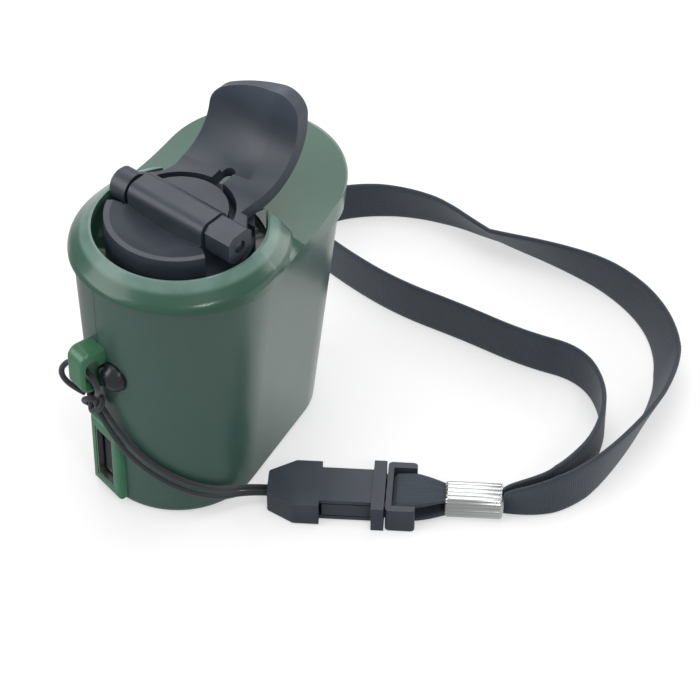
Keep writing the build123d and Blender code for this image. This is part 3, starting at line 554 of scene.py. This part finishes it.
def rounded_cover():
    """A welded copy of the cover, cut across its arms at even steps so that they bend smoothly."""
    mesh = bpy.data.meshes.new("collared_cover")
    body = bmesh.new()
    body.from_mesh(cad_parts["top_cover"].data)
    bmesh.ops.remove_doubles(body, verts=body.verts, dist=WELD)
    cuts = [((0, 0, ARM_FOOT + rise), (0, 0, 1)) for rise in CUTS_ABOVE_FOOT]
    cuts += [((ARM_START + CUT_STEP * i, 0, 0), (1, 0, 0)) for i in range(CUTS_ALONG)]
    for place, normal in cuts:
        near = [face for face in body.faces if on_arms(face)]
        parts = {e for f in near for e in f.edges} | {v for f in near for v in f.verts} | set(near)
        bmesh.ops.bisect_plane(body, geom=list(parts), dist=CUT_SNAP, plane_co=place, plane_no=normal)
    body.to_mesh(mesh)
    points = np.empty(len(mesh.vertices) * 3)
    mesh.vertices.foreach_get("co", points)
    mesh.vertices.foreach_set("co", round_collar(points.reshape(-1, 3)).ravel())
    body.clear()
    body.from_mesh(mesh)
    bmesh.ops.triangulate(body, faces=body.faces)
    body.to_mesh(mesh)
    body.free()
    mesh.shade_smooth()
    mesh.set_sharp_from_angle(angle=CREASE)
    made = shown("collared_cover", mesh)
    even_normals(made)
    return made


# ---- settings ------------------------------------------------------------
def colour_setting(name, description, rgb):
    """A colour that a user may change, given as 8-bit display values."""
    return FloatVectorProperty(name=name, description=description, subtype="COLOR", size=3, min=0, max=1,
                               default=tone(*rgb)[:3])


def length_setting(name, description, metres):
    """A length that a user may change."""
    return FloatProperty(name=name, description=description, unit="LENGTH", default=metres, min=0)


class ChargerHousingSettings(bpy.types.PropertyGroup):
    """Colours of the housing"""

    body_colour: colour_setting("Body", "Satin wall of the two shells", (54, 79, 72))
    low_colour: colour_setting("Body, low", "Tint of the wall near the base", (44, 78, 66))
    cover_colour: colour_setting("Cover", "Glossy top cover", (36, 74, 60))
    bezel_colour: colour_setting("Socket surround", "Surround and lanyard ear", (56, 112, 80))


class ChargerCrankSettings(bpy.types.PropertyGroup):
    """Colour and edges of the crank"""

    plastic_colour: colour_setting("Crank", "Satin black plastic", (46, 52, 61))
    rounding: length_setting("Rounding", "Radius of the crank's edges", 0.0004)


class ChargerLanyardSettings(bpy.types.PropertyGroup):
    """Sizes and colours of the cord, the buckle and the strap"""

    cord_diameter: length_setting("Cord", "Diameter of the thin cord", 0.0012)
    cord_colour: colour_setting("Cord colour", "Braid of the thin cord", (36, 41, 47))
    webbing_width: length_setting("Webbing width", "Width of the strap", 0.010)
    webbing_thickness: length_setting("Webbing thickness", "Thickness of the strap", 0.001)
    webbing_colour: colour_setting("Webbing colour", "Weave of the strap", (44, 53, 64))
    buckle_colour: colour_setting("Buckle", "Moulded buckle halves", (46, 52, 61))
    crimp_colour: colour_setting("Crimp", "Pressed metal sleeve", (200, 202, 202))


class ChargerStageSettings(bpy.types.PropertyGroup):
    """Place of the camera"""

    azimuth: FloatProperty(name="Azimuth", description="Camera direction round the charger",
                           subtype="ANGLE", default=math.radians(-57.844))
    elevation: FloatProperty(name="Elevation", description="Camera height above the horizon",
                             subtype="ANGLE", default=math.radians(42.326))
    distance: length_setting("Distance", "Camera to the point it looks at", 0.64679)
    lens: FloatProperty(name="Lens", description="Focal length in millimetres", unit="CAMERA",
                        default=164.57)
    target: FloatVectorProperty(name="Target", description="Point the camera looks at", unit="LENGTH",
                                default=(0.016144, -0.029307, 0.028719))


# ---- operators -----------------------------------------------------------
class CHARGER_OT_housing(bpy.types.Operator):
    """Finish the shells, the cover and the socket's surround"""

    bl_idname = "charger.housing"
    bl_label = "Housing"

    def execute(self, context):
        sizes = context.scene.charger_housing
        satin = satin_green(sizes)
        for node in ("front_shell", "rear_shell"):
            dress(node, satin)
        add_piece(rounded_cover(), gloss_green(sizes), "top_cover", "housing")
        dress("port_bezel", bezel_green(sizes))
        steel = bright_metal("screw_steel", tone(150, 155, 158), (400, 400, 400))
        dress("shell_screws", steel)
        return {"FINISHED"}


class CHARGER_OT_socket(bpy.types.Operator):
    """Finish the power socket, its board and the lamp"""

    bl_idname = "charger.socket"
    bl_label = "Socket, board and lamp"

    def execute(self, context):
        plated = bright_metal("plated_shell", tone(205, 208, 208), (90, 90, 900))
        gold = bright_metal("gold_contacts", tone(212, 176, 88), (900, 90, 90))
        dress("usb_shell", plated)
        dress("usb_contacts", gold)
        dress("lamp_lens", smoked_lens())
        for node, finish, colour, rough, slot in (
                ("usb_tongue", "tongue_plastic", (36, 42, 44), 0.4, "white_insulator"),
                ("circuit_board", "solder_resist", (30, 92, 58), 0.3, "board_green"),
                ("board_capacitors", "capacitor_sleeve", (30, 42, 70), 0.25, "capacitor_sleeve"),
                ("board_chip", "chip_case", (28, 29, 31), 0.5, "chip_black"),
                ("board_inductor", "ferrite", (52, 52, 54), 0.6, "chip_black"),
                ("lamp_bulb", "lamp_bulb", (226, 232, 236), 0.15, "lamp_clear")):
            dress(node, plain_plastic(finish, tone(*colour), rough))
        return {"FINISHED"}


class CHARGER_OT_crank(bpy.types.Operator):
    """Finish the hub, the folding arm and their pin"""

    bl_idname = "charger.crank"
    bl_label = "Crank"

    def execute(self, context):
        sizes = context.scene.charger_crank
        # Painted light makes the crank's grip paler.
        black = moulded_black("crank_plastic", sizes.plastic_colour, 0.34, painted_light_heights=GRIP_PAINTED_LIGHT)
        for node in ("crank_hub", "crank_arm"):
            dress(node, black)
            soften(node, sizes.rounding)
        steel = bright_metal("pin_steel", tone(120, 124, 128), (300, 60, 300))
        dress("hinge_pin", steel)
        return {"FINISHED"}


class CHARGER_OT_drive(bpy.types.Operator):
    """Finish the gear train and the generator"""

    bl_idname = "charger.drive"
    bl_label = "Drive train"

    def execute(self, context):
        steel = bright_metal("turned_steel", tone(160, 164, 166), (120, 120, 2400))
        brass = bright_metal("cut_brass", tone(200, 166, 90), (120, 120, 900))
        nylon = plain_plastic("gear_nylon", tone(216, 210, 194), 0.42)
        for node in ("crank_shaft", "shaft_clip", "idler_axle", "generator_rotor", "generator_can",
                     "plate_screws"):
            dress(node, steel)
        for node in ("crank_gear", "idler_gear"):
            dress(node, nylon)
        dress("gear_plate", plain_plastic("plate_plastic", tone(58, 60, 63), 0.5))
        dress("generator_pinion", brass)
        dress("generator_stator", wound_copper())
        return {"FINISHED"}


# Routes of the thin cord, each from the knot: round the ear, and down to the buckle.
EYE_ROUTE = [(-0.02199, 0.00617, 0.0289), (-0.02394, 0.00433, 0.0316), (-0.02474, 0.00388, 0.0348),
             (-0.02299, 0.00781, 0.0364), (-0.02208, 0.01206, 0.0358), (-0.02361, 0.014, 0.0332),
             (-0.02366, 0.0121, 0.0302), (-0.0223, 0.00884, 0.0283)]
LOW_ROUTE = [(-0.02234, 0.00619, 0.0254), (-0.02299, 0.00155, 0.0189), (-0.02177, -0.00489, 0.013),
             (-0.01867, -0.01128, 0.0084), (-0.01343, -0.01649, 0.0046), (-0.00763, -0.01911, 0.003),
             (-0.0048, -0.0244, 0.003)]
HIGH_ROUTE = [(-0.02199, 0.00573, 0.027), (-0.02214, 0.00118, 0.0207), (-0.02127, -0.00517, 0.015),
              (-0.01812, -0.01145, 0.0103), (-0.01272, -0.01618, 0.0062), (-0.00622, -0.01836, 0.003),
              (-0.00339, -0.02364, 0.003)]
KNOT_AT, KNOT_ACROSS, KNOT_TALL, KNOT_ROWS = (-0.0222, 0.0068, 0.0269), (0.0015, 0.0023), 0.0016, 160


def knot_line():
    """A trefoil whose ends meet: two turns round, three swings in and out, and up and down with the sine
    of the same three."""
    t = np.linspace(0, FULL_TURN, KNOT_ROWS)
    ring = 2 + np.cos(3 * t)
    wide, deep = (half / 3 for half in KNOT_ACROSS)
    x, y = ring * np.cos(2 * t) * wide, ring * np.sin(2 * t) * deep
    return np.stack([x, y, np.sin(3 * t) * KNOT_TALL], 1) + np.array(KNOT_AT)


class CHARGER_OT_cords(bpy.types.Operator):
    """Make the thin cord: its eye through the ear, the knot, and the two strands to the buckle"""

    bl_idname = "charger.cords"
    bl_label = "Thin cord"

    def execute(self, context):
        sizes = context.scene.charger_lanyard
        braid = braided(sizes)
        radius = sizes.cord_diameter / 2
        knot = round_tube("cord_knot", knot_line(), radius, KNOT_COLUMNS)
        add_piece(knot, braid, "lanyard_knot", "housing")
        eye = round_tube("cord_eye", smooth_line(EYE_ROUTE), radius)
        add_piece(eye, braid, "lanyard_eye", "housing")
        for name, node, route, ends in (("cord_low", "lanyard_cord_low", LOW_ROUTE, [knot, eye]),
                                        ("cord_high", "lanyard_cord_high", HIGH_ROUTE, [])):
            line = smooth_line(route)
            strand = round_tube(name, line, radius)
            add_piece(strand, braid, node, "housing")
        return {"FINISHED"}


BUCKLE_ROUNDING = 0.0003


class CHARGER_OT_buckle(bpy.types.Operator):
    """Finish the two halves of the side release buckle"""

    bl_idname = "charger.buckle"
    bl_label = "Buckle"

    def execute(self, context):
        sizes = context.scene.charger_lanyard
        black = moulded_black("buckle_plastic", sizes.buckle_colour, 0.38)
        for node in ("buckle_socket", "buckle_plug"):
            dress(node, black)
            soften(node, BUCKLE_ROUNDING)
        return {"FINISHED"}


# Places along the buckle, from the end where the thin cord enters it.
BUCKLE_AT, BUCKLE_TURN, BUCKLE_MIDDLE = (-0.0048, -0.0227), math.radians(-61.8), 0.003
BAR_X, FRAME_END, CRIMP_X, CRIMP_LENGTH = 0.0267, 0.0303, 0.0362, 0.0118

# Route of the strap on the floor, out of the crimp and back, and degrees that it leans at each point.
STRAP_ROUTE = [(0.01718, -0.06549), (0.02056, -0.07264), (0.030, -0.0776), (0.043, -0.079), (0.058, -0.0786),
               (0.072, -0.0748), (0.0826, -0.0654), (0.0884, -0.052), (0.089, -0.037), (0.088, -0.022),
               (0.089, -0.0075), (0.0846, 0.006), (0.0752, 0.0158), (0.0644, 0.0124), (0.0604, -0.001),
               (0.058, -0.0155), (0.0586, -0.031), (0.0582, -0.0465), (0.0606, -0.060), (0.052, -0.0702),
               (0.0396, -0.0744), (0.0286, -0.0734), (0.02275, -0.07102), (0.01868, -0.06469)]
STRAP_LEAN = [0, 0, 0, -12, -24, -30, -14, 0, 20, 40, 18, 6, 0, 0, 0, 0, 0, 0, 0, 0, 0, 0, 0, 0]


def at_buckle(grid):
    """Places along, across and above the buckle, turned and moved to where it lies on the floor."""
    c, s = math.cos(BUCKLE_TURN), math.sin(BUCKLE_TURN)
    x, y, z = np.moveaxis(grid, -1, 0)
    return np.stack([BUCKLE_AT[0] + c * x - s * y, BUCKLE_AT[1] + s * x + c * y, z], -1)


# The strap is gathered where it leaves the crimp: its width, bow and height change over these lengths.
GATHERED_WIDTH, WIDTH_RUN, WIDTH_POWER = 0.52, 0.011, 0.7
GATHERED_BOW, BOW_RUN = 0.0007, 0.014
OFF_FLOOR, GATHERED_LIFT, LIFT_RUN = 0.0001, 0.0006, 0.010

# The folded end: shares of its length at which it starts and ends the turn round the bar.
TURN_FROM, TURN_TO = 0.42, 0.58
FOLD_INTO_CRIMP, BAR_BULGE, FOLD_HALF, FOLD_PUFF = 0.001, 0.0007, 0.00155, 0.0003
FOLD_THICK, FOLD_PLAY, FOLD_NARROWS, NARROWS_POWER = 0.0009, 0.0004, 0.42, 1.2
PLEAT, PLEATS, FOLD_ROWS = 0.00018, 3.5, 90

# The crimp: a squared ring at stations along its length, pushed in by PUSH, with ribs where RIBBED is 1.
CRIMP_HALF_WIDTH, CRIMP_HALF_HEIGHT, RIB_HEIGHT, RIBS = 0.0031, 0.0027, 0.00022, 18
CRIMP_OUT = np.array([0, 0.02, 0.05, 0.5, 0.95, 0.98, 1.0, 1.0, 0.97, 0.03, 0.0])
CRIMP_PUSH = np.array([-0.25, -0.05, 0, 0, 0, -0.05, -0.25, -0.6, -0.75, -0.75, -0.6]) * MM
CRIMP_RIBBED = np.array([0, 0.5, 1, 1, 1, 0.5, 0, 0, 0, 0, 0])
CRIMP_COLUMNS = 168


class CHARGER_OT_strap(bpy.types.Operator):
    """Make the webbing loop, its folded end on the plug's bar and the pressed crimp"""

    bl_idname = "charger.strap"
    bl_label = "Webbing strap"

    def execute(self, context):
        sizes = context.scene.charger_lanyard
        weave = woven(sizes)
        metal = bright_metal("pressed_metal", sizes.crimp_colour, (160, 160, 160), 0.2)
        line = smooth_line([(x, y, 0.0) for x, y in STRAP_ROUTE])
        band, fold, crimp = self.loop(sizes, line), self.fold(sizes), self.crimp()
        add_piece(band, weave, "webbing_loop", "strap_plug")
        add_piece(fold, weave, "webbing_fold", "strap_plug")
        add_piece(crimp, metal, "strap_crimp", "strap_plug")
        return {"FINISHED"}

    def loop(self, sizes, line):
        """The band on edge along its route, narrower, bowed and lifted near its two ends."""
        controls = len(STRAP_ROUTE)
        place = np.linspace(0, controls - 2, len(line))
        acts_at = np.clip(np.arange(controls) - 0.5, 0, controls - 2)
        lean = np.radians(np.interp(place, acts_at, STRAP_LEAN))
        run = lengths(line)
        from_end = np.minimum(run, run[-1] - run)
        full = GATHERED_WIDTH + (1 - GATHERED_WIDTH) * np.clip(from_end / WIDTH_RUN, 0, 1) ** WIDTH_POWER
        bow = GATHERED_BOW * np.clip(1 - from_end / BOW_RUN, 0, 1) * np.where(run < run[-1] / 2, 1, -1)
        lift = OFF_FLOOR + GATHERED_LIFT * np.clip(1 - from_end / LIFT_RUN, 0, 1)
        return flat_band("strap_loop", line, lean, sizes.webbing_width * full, sizes.webbing_thickness,
                         bow, lift)

    def fold(self, sizes):
        """The end of the band: from the crimp, round the bar in a half circle and back, narrowing and
        pleating towards the crimp."""
        t = np.linspace(0, 1, FOLD_ROWS)
        start = CRIMP_X + FOLD_INTO_CRIMP
        reach = start - BAR_X
        back = BAR_X + reach * (t - TURN_TO) / TURN_FROM
        x = np.where(t < TURN_FROM, start - reach * t / TURN_FROM, np.where(t > TURN_TO, back, BAR_X))
        turn = np.clip((t - TURN_FROM) / (TURN_TO - TURN_FROM), 0, 1) * np.pi
        x = x - BAR_BULGE * np.sin(turn)
        z = BUCKLE_MIDDLE - FOLD_HALF * np.cos(turn)
        puff = np.sin(np.clip((x - BAR_X) / reach, 0, 1) * np.pi)
        z = z + FOLD_PUFF * puff * np.sign(z - BUCKLE_MIDDLE)
        share = np.clip((x - FRAME_END) / (CRIMP_X - FRAME_END), 0, 1)
        width = (sizes.webbing_width - FOLD_PLAY) * (1 - FOLD_NARROWS * share ** NARROWS_POWER)
        line = np.stack([x, np.zeros_like(x), z], 1)
        sideways = np.array([0, 1.0, 0])
        through = np.cross(unit(np.gradient(line, axis=0)), sideways)
        section = ribbon_section(FOLD_THICK / sizes.webbing_width)
        pleat = PLEAT * np.sin(section[None, :, 0] * FULL_TURN * PLEATS) * share[:, None]
        across = section[None, :, 0] * width[:, None]
        deep = section[None, :, 1] * sizes.webbing_width + pleat
        grid = line[:, None] + across[..., None] * sideways + deep[..., None] * through[:, None]
        along = lengths(line) / sizes.webbing_width
        return surface("strap_fold", at_buckle(grid), (along, section_shares(section)), closed=True,
                       capped=True)

    def crimp(self):
        """A squared ring, (|cos|^4 + |sin|^4)^-1/4 round, with lengthwise ribs, carried out along the
        sleeve and back inside it."""
        turn = np.linspace(0, FULL_TURN, CRIMP_COLUMNS, endpoint=False)
        square = (np.abs(np.cos(turn)) ** 4 + np.abs(np.sin(turn)) ** 4) ** -0.25
        ribs = RIB_HEIGHT * np.abs(np.sin(turn * (RIBS / 2))) ** 0.6 * CRIMP_RIBBED[:, None]
        push = CRIMP_PUSH[:, None]
        y = np.cos(turn) * (square * (CRIMP_HALF_WIDTH + push) + ribs)
        z = np.sin(turn) * (square * (CRIMP_HALF_HEIGHT + push) + ribs) + BUCKLE_MIDDLE
        x = np.broadcast_to((CRIMP_X + CRIMP_LENGTH * CRIMP_OUT)[:, None], y.shape)
        grid = np.stack([x, y, z], -1)
        grid = np.concatenate([grid, grid[:1]])
        along = np.r_[CRIMP_OUT, 0.0], np.arange(CRIMP_COLUMNS + 1) / CRIMP_COLUMNS
        return surface("strap_crimp_sleeve", at_buckle(grid), along, closed=True)


# Each lamp's place, what it points at, the side of its square and its power in watts.
LAMPS = {
    "overhead": ((0.05, 0.00, 0.80), (0.02, -0.02, 0.03), 0.60, 2.9),
    "behind": ((0.50, 0.32, 0.58), (0.02, 0.00, 0.05), 0.45, 1.2),
    "right": ((0.62, -0.34, 0.26), (0.02, -0.02, 0.03), 0.45, 1.8),
    "left": ((-0.47, 0.50, 0.42), (0.0, 0.0, 0.05), 0.60, 3.2),
    "glint": ((-0.35, -0.58, 0.54), (0.0, -0.02, 0.055), 0.20, 1.3),
}
FLOOR_HALF = 3.0
FLOOR_GLOW = 0.5                                 # share of plain white in what the camera sees of the floor
DIM_CARD, CARD_EDGE = 0.40, (0.000, 0.030)       # mirrored floor's strength on the near side, its edge in X
AIR_STRENGTH = 0.45
SENSOR, CLIP = 36, (0.01, 20)                    # sensor's width in millimetres, nearest and farthest seen


class CHARGER_OT_stage(bpy.types.Operator):
    """Lay the floor, hang the lamps and set the camera"""

    bl_idname = "charger.stage"
    bl_label = "Stage"

    def execute(self, context):
        sizes = context.scene.charger_stage
        scene = context.scene
        scene.view_settings.view_transform = "Standard"
        self.floor()
        self.air(scene)
        for name, settings in LAMPS.items():
            self.lamp(name, *settings)
        back = Vector((math.sin(sizes.azimuth) * math.cos(sizes.elevation),
                       -math.cos(sizes.azimuth) * math.cos(sizes.elevation), math.sin(sizes.elevation)))
        camera = bpy.data.objects.new("camera", bpy.data.cameras.new("camera"))
        scene.collection.objects.link(camera)
        camera.data.lens, camera.data.sensor_width = sizes.lens, SENSOR
        camera.data.clip_start, camera.data.clip_end = CLIP
        camera.location = Vector(sizes.target) + back * sizes.distance
        camera.rotation_euler = (-back).to_track_quat("-Z", "Y").to_euler()
        scene.camera = camera
        return {"FINISHED"}

    def floor(self):
        """A wide plain square. The camera sees it nearly white with the object's soft shadow, and glossy
        surfaces mirror it dim on the near side and white on the far side."""
        half = np.array([-FLOOR_HALF, FLOOR_HALF])
        grid = np.stack(np.meshgrid(half, half, [0.0], indexing="ij"), -1)[:, :, 0]
        slab = surface("floor", grid, (np.arange(2.0), np.arange(2.0)))
        look = Look("pale_floor")
        look.finish(tone(250, 250, 250), 0.9, Specular_IOR_Level=0.0)
        lit = Value(look, look.shader.outputs[0])
        ray = look.node("ShaderNodeLightPath").socket.node.outputs
        seen, mirrored = Value(look, ray["Is Camera Ray"]), Value(look, ray["Is Glossy Ray"])
        glow, dim = (look.node("ShaderNodeEmission", (), {"Color": (1, 1, 1, 1), "Strength": strength})
                     for strength in (1.0, DIM_CARD))
        floor = look.node("ShaderNodeMixShader", (), {0: seen * FLOOR_GLOW, 1: lit, 2: glow})
        far_side = look.rise(look.axes()[0], *CARD_EDGE)
        card = look.node("ShaderNodeMixShader", (), {0: far_side, 1: dim, 2: glow})
        both = look.node("ShaderNodeMixShader", (), {0: mirrored, 1: floor, 2: card})
        look.feed(look.tree.nodes["Material Output"].inputs["Surface"], both)
        slab.data.materials.append(look.material)

    def air(self, scene):
        """World light: an even white."""
        scene.world = bpy.data.worlds.new("studio")
        scene.world.use_nodes = True
        back = scene.world.node_tree.nodes["Background"]
        back.inputs["Color"].default_value = (1, 1, 1, 1)
        back.inputs["Strength"].default_value = AIR_STRENGTH

    def lamp(self, name, place, aim, size, power):
        light = bpy.data.lights.new(name, "AREA")
        light.shape, light.size, light.energy = "SQUARE", size, power
        lamp = bpy.data.objects.new(name, light)
        bpy.context.scene.collection.objects.link(lamp)
        lamp.location = place
        lamp.rotation_euler = (Vector(aim) - Vector(place)).to_track_quat("-Z", "Y").to_euler()


class CHARGER_PT_panel(bpy.types.Panel):
    """Everything the charger is made of"""

    bl_idname = "CHARGER_PT_panel"
    bl_label = "Charger"
    bl_space_type = "VIEW_3D"
    bl_region_type = "UI"
    bl_category = "Charger"

    def draw(self, context):
        for group in SETTINGS:
            for name in SETTINGS[group].__annotations__:
                self.layout.prop(getattr(context.scene, group), name)
        for operator in OPERATORS:
            self.layout.operator(operator.bl_idname)


SETTINGS = {"charger_housing": ChargerHousingSettings, "charger_crank": ChargerCrankSettings,
            "charger_lanyard": ChargerLanyardSettings, "charger_stage": ChargerStageSettings}
OPERATORS = (CHARGER_OT_housing, CHARGER_OT_socket, CHARGER_OT_crank, CHARGER_OT_drive, CHARGER_OT_cords,
             CHARGER_OT_buckle, CHARGER_OT_strap, CHARGER_OT_stage)


def register():
    for cls in (*SETTINGS.values(), *OPERATORS, CHARGER_PT_panel):
        bpy.utils.register_class(cls)
    for group, cls in SETTINGS.items():
        setattr(bpy.types.Scene, group, PointerProperty(type=cls))


def unregister():
    for group in SETTINGS:
        delattr(bpy.types.Scene, group)
    for cls in (CHARGER_PT_panel, *reversed(OPERATORS), *SETTINGS.values()):
        bpy.utils.unregister_class(cls)


def main():
    register()
    for operator in OPERATORS:
        family, name = operator.bl_idname.split(".")
        getattr(getattr(bpy.ops, family), name)()


if __name__ == "__main__":
    main()
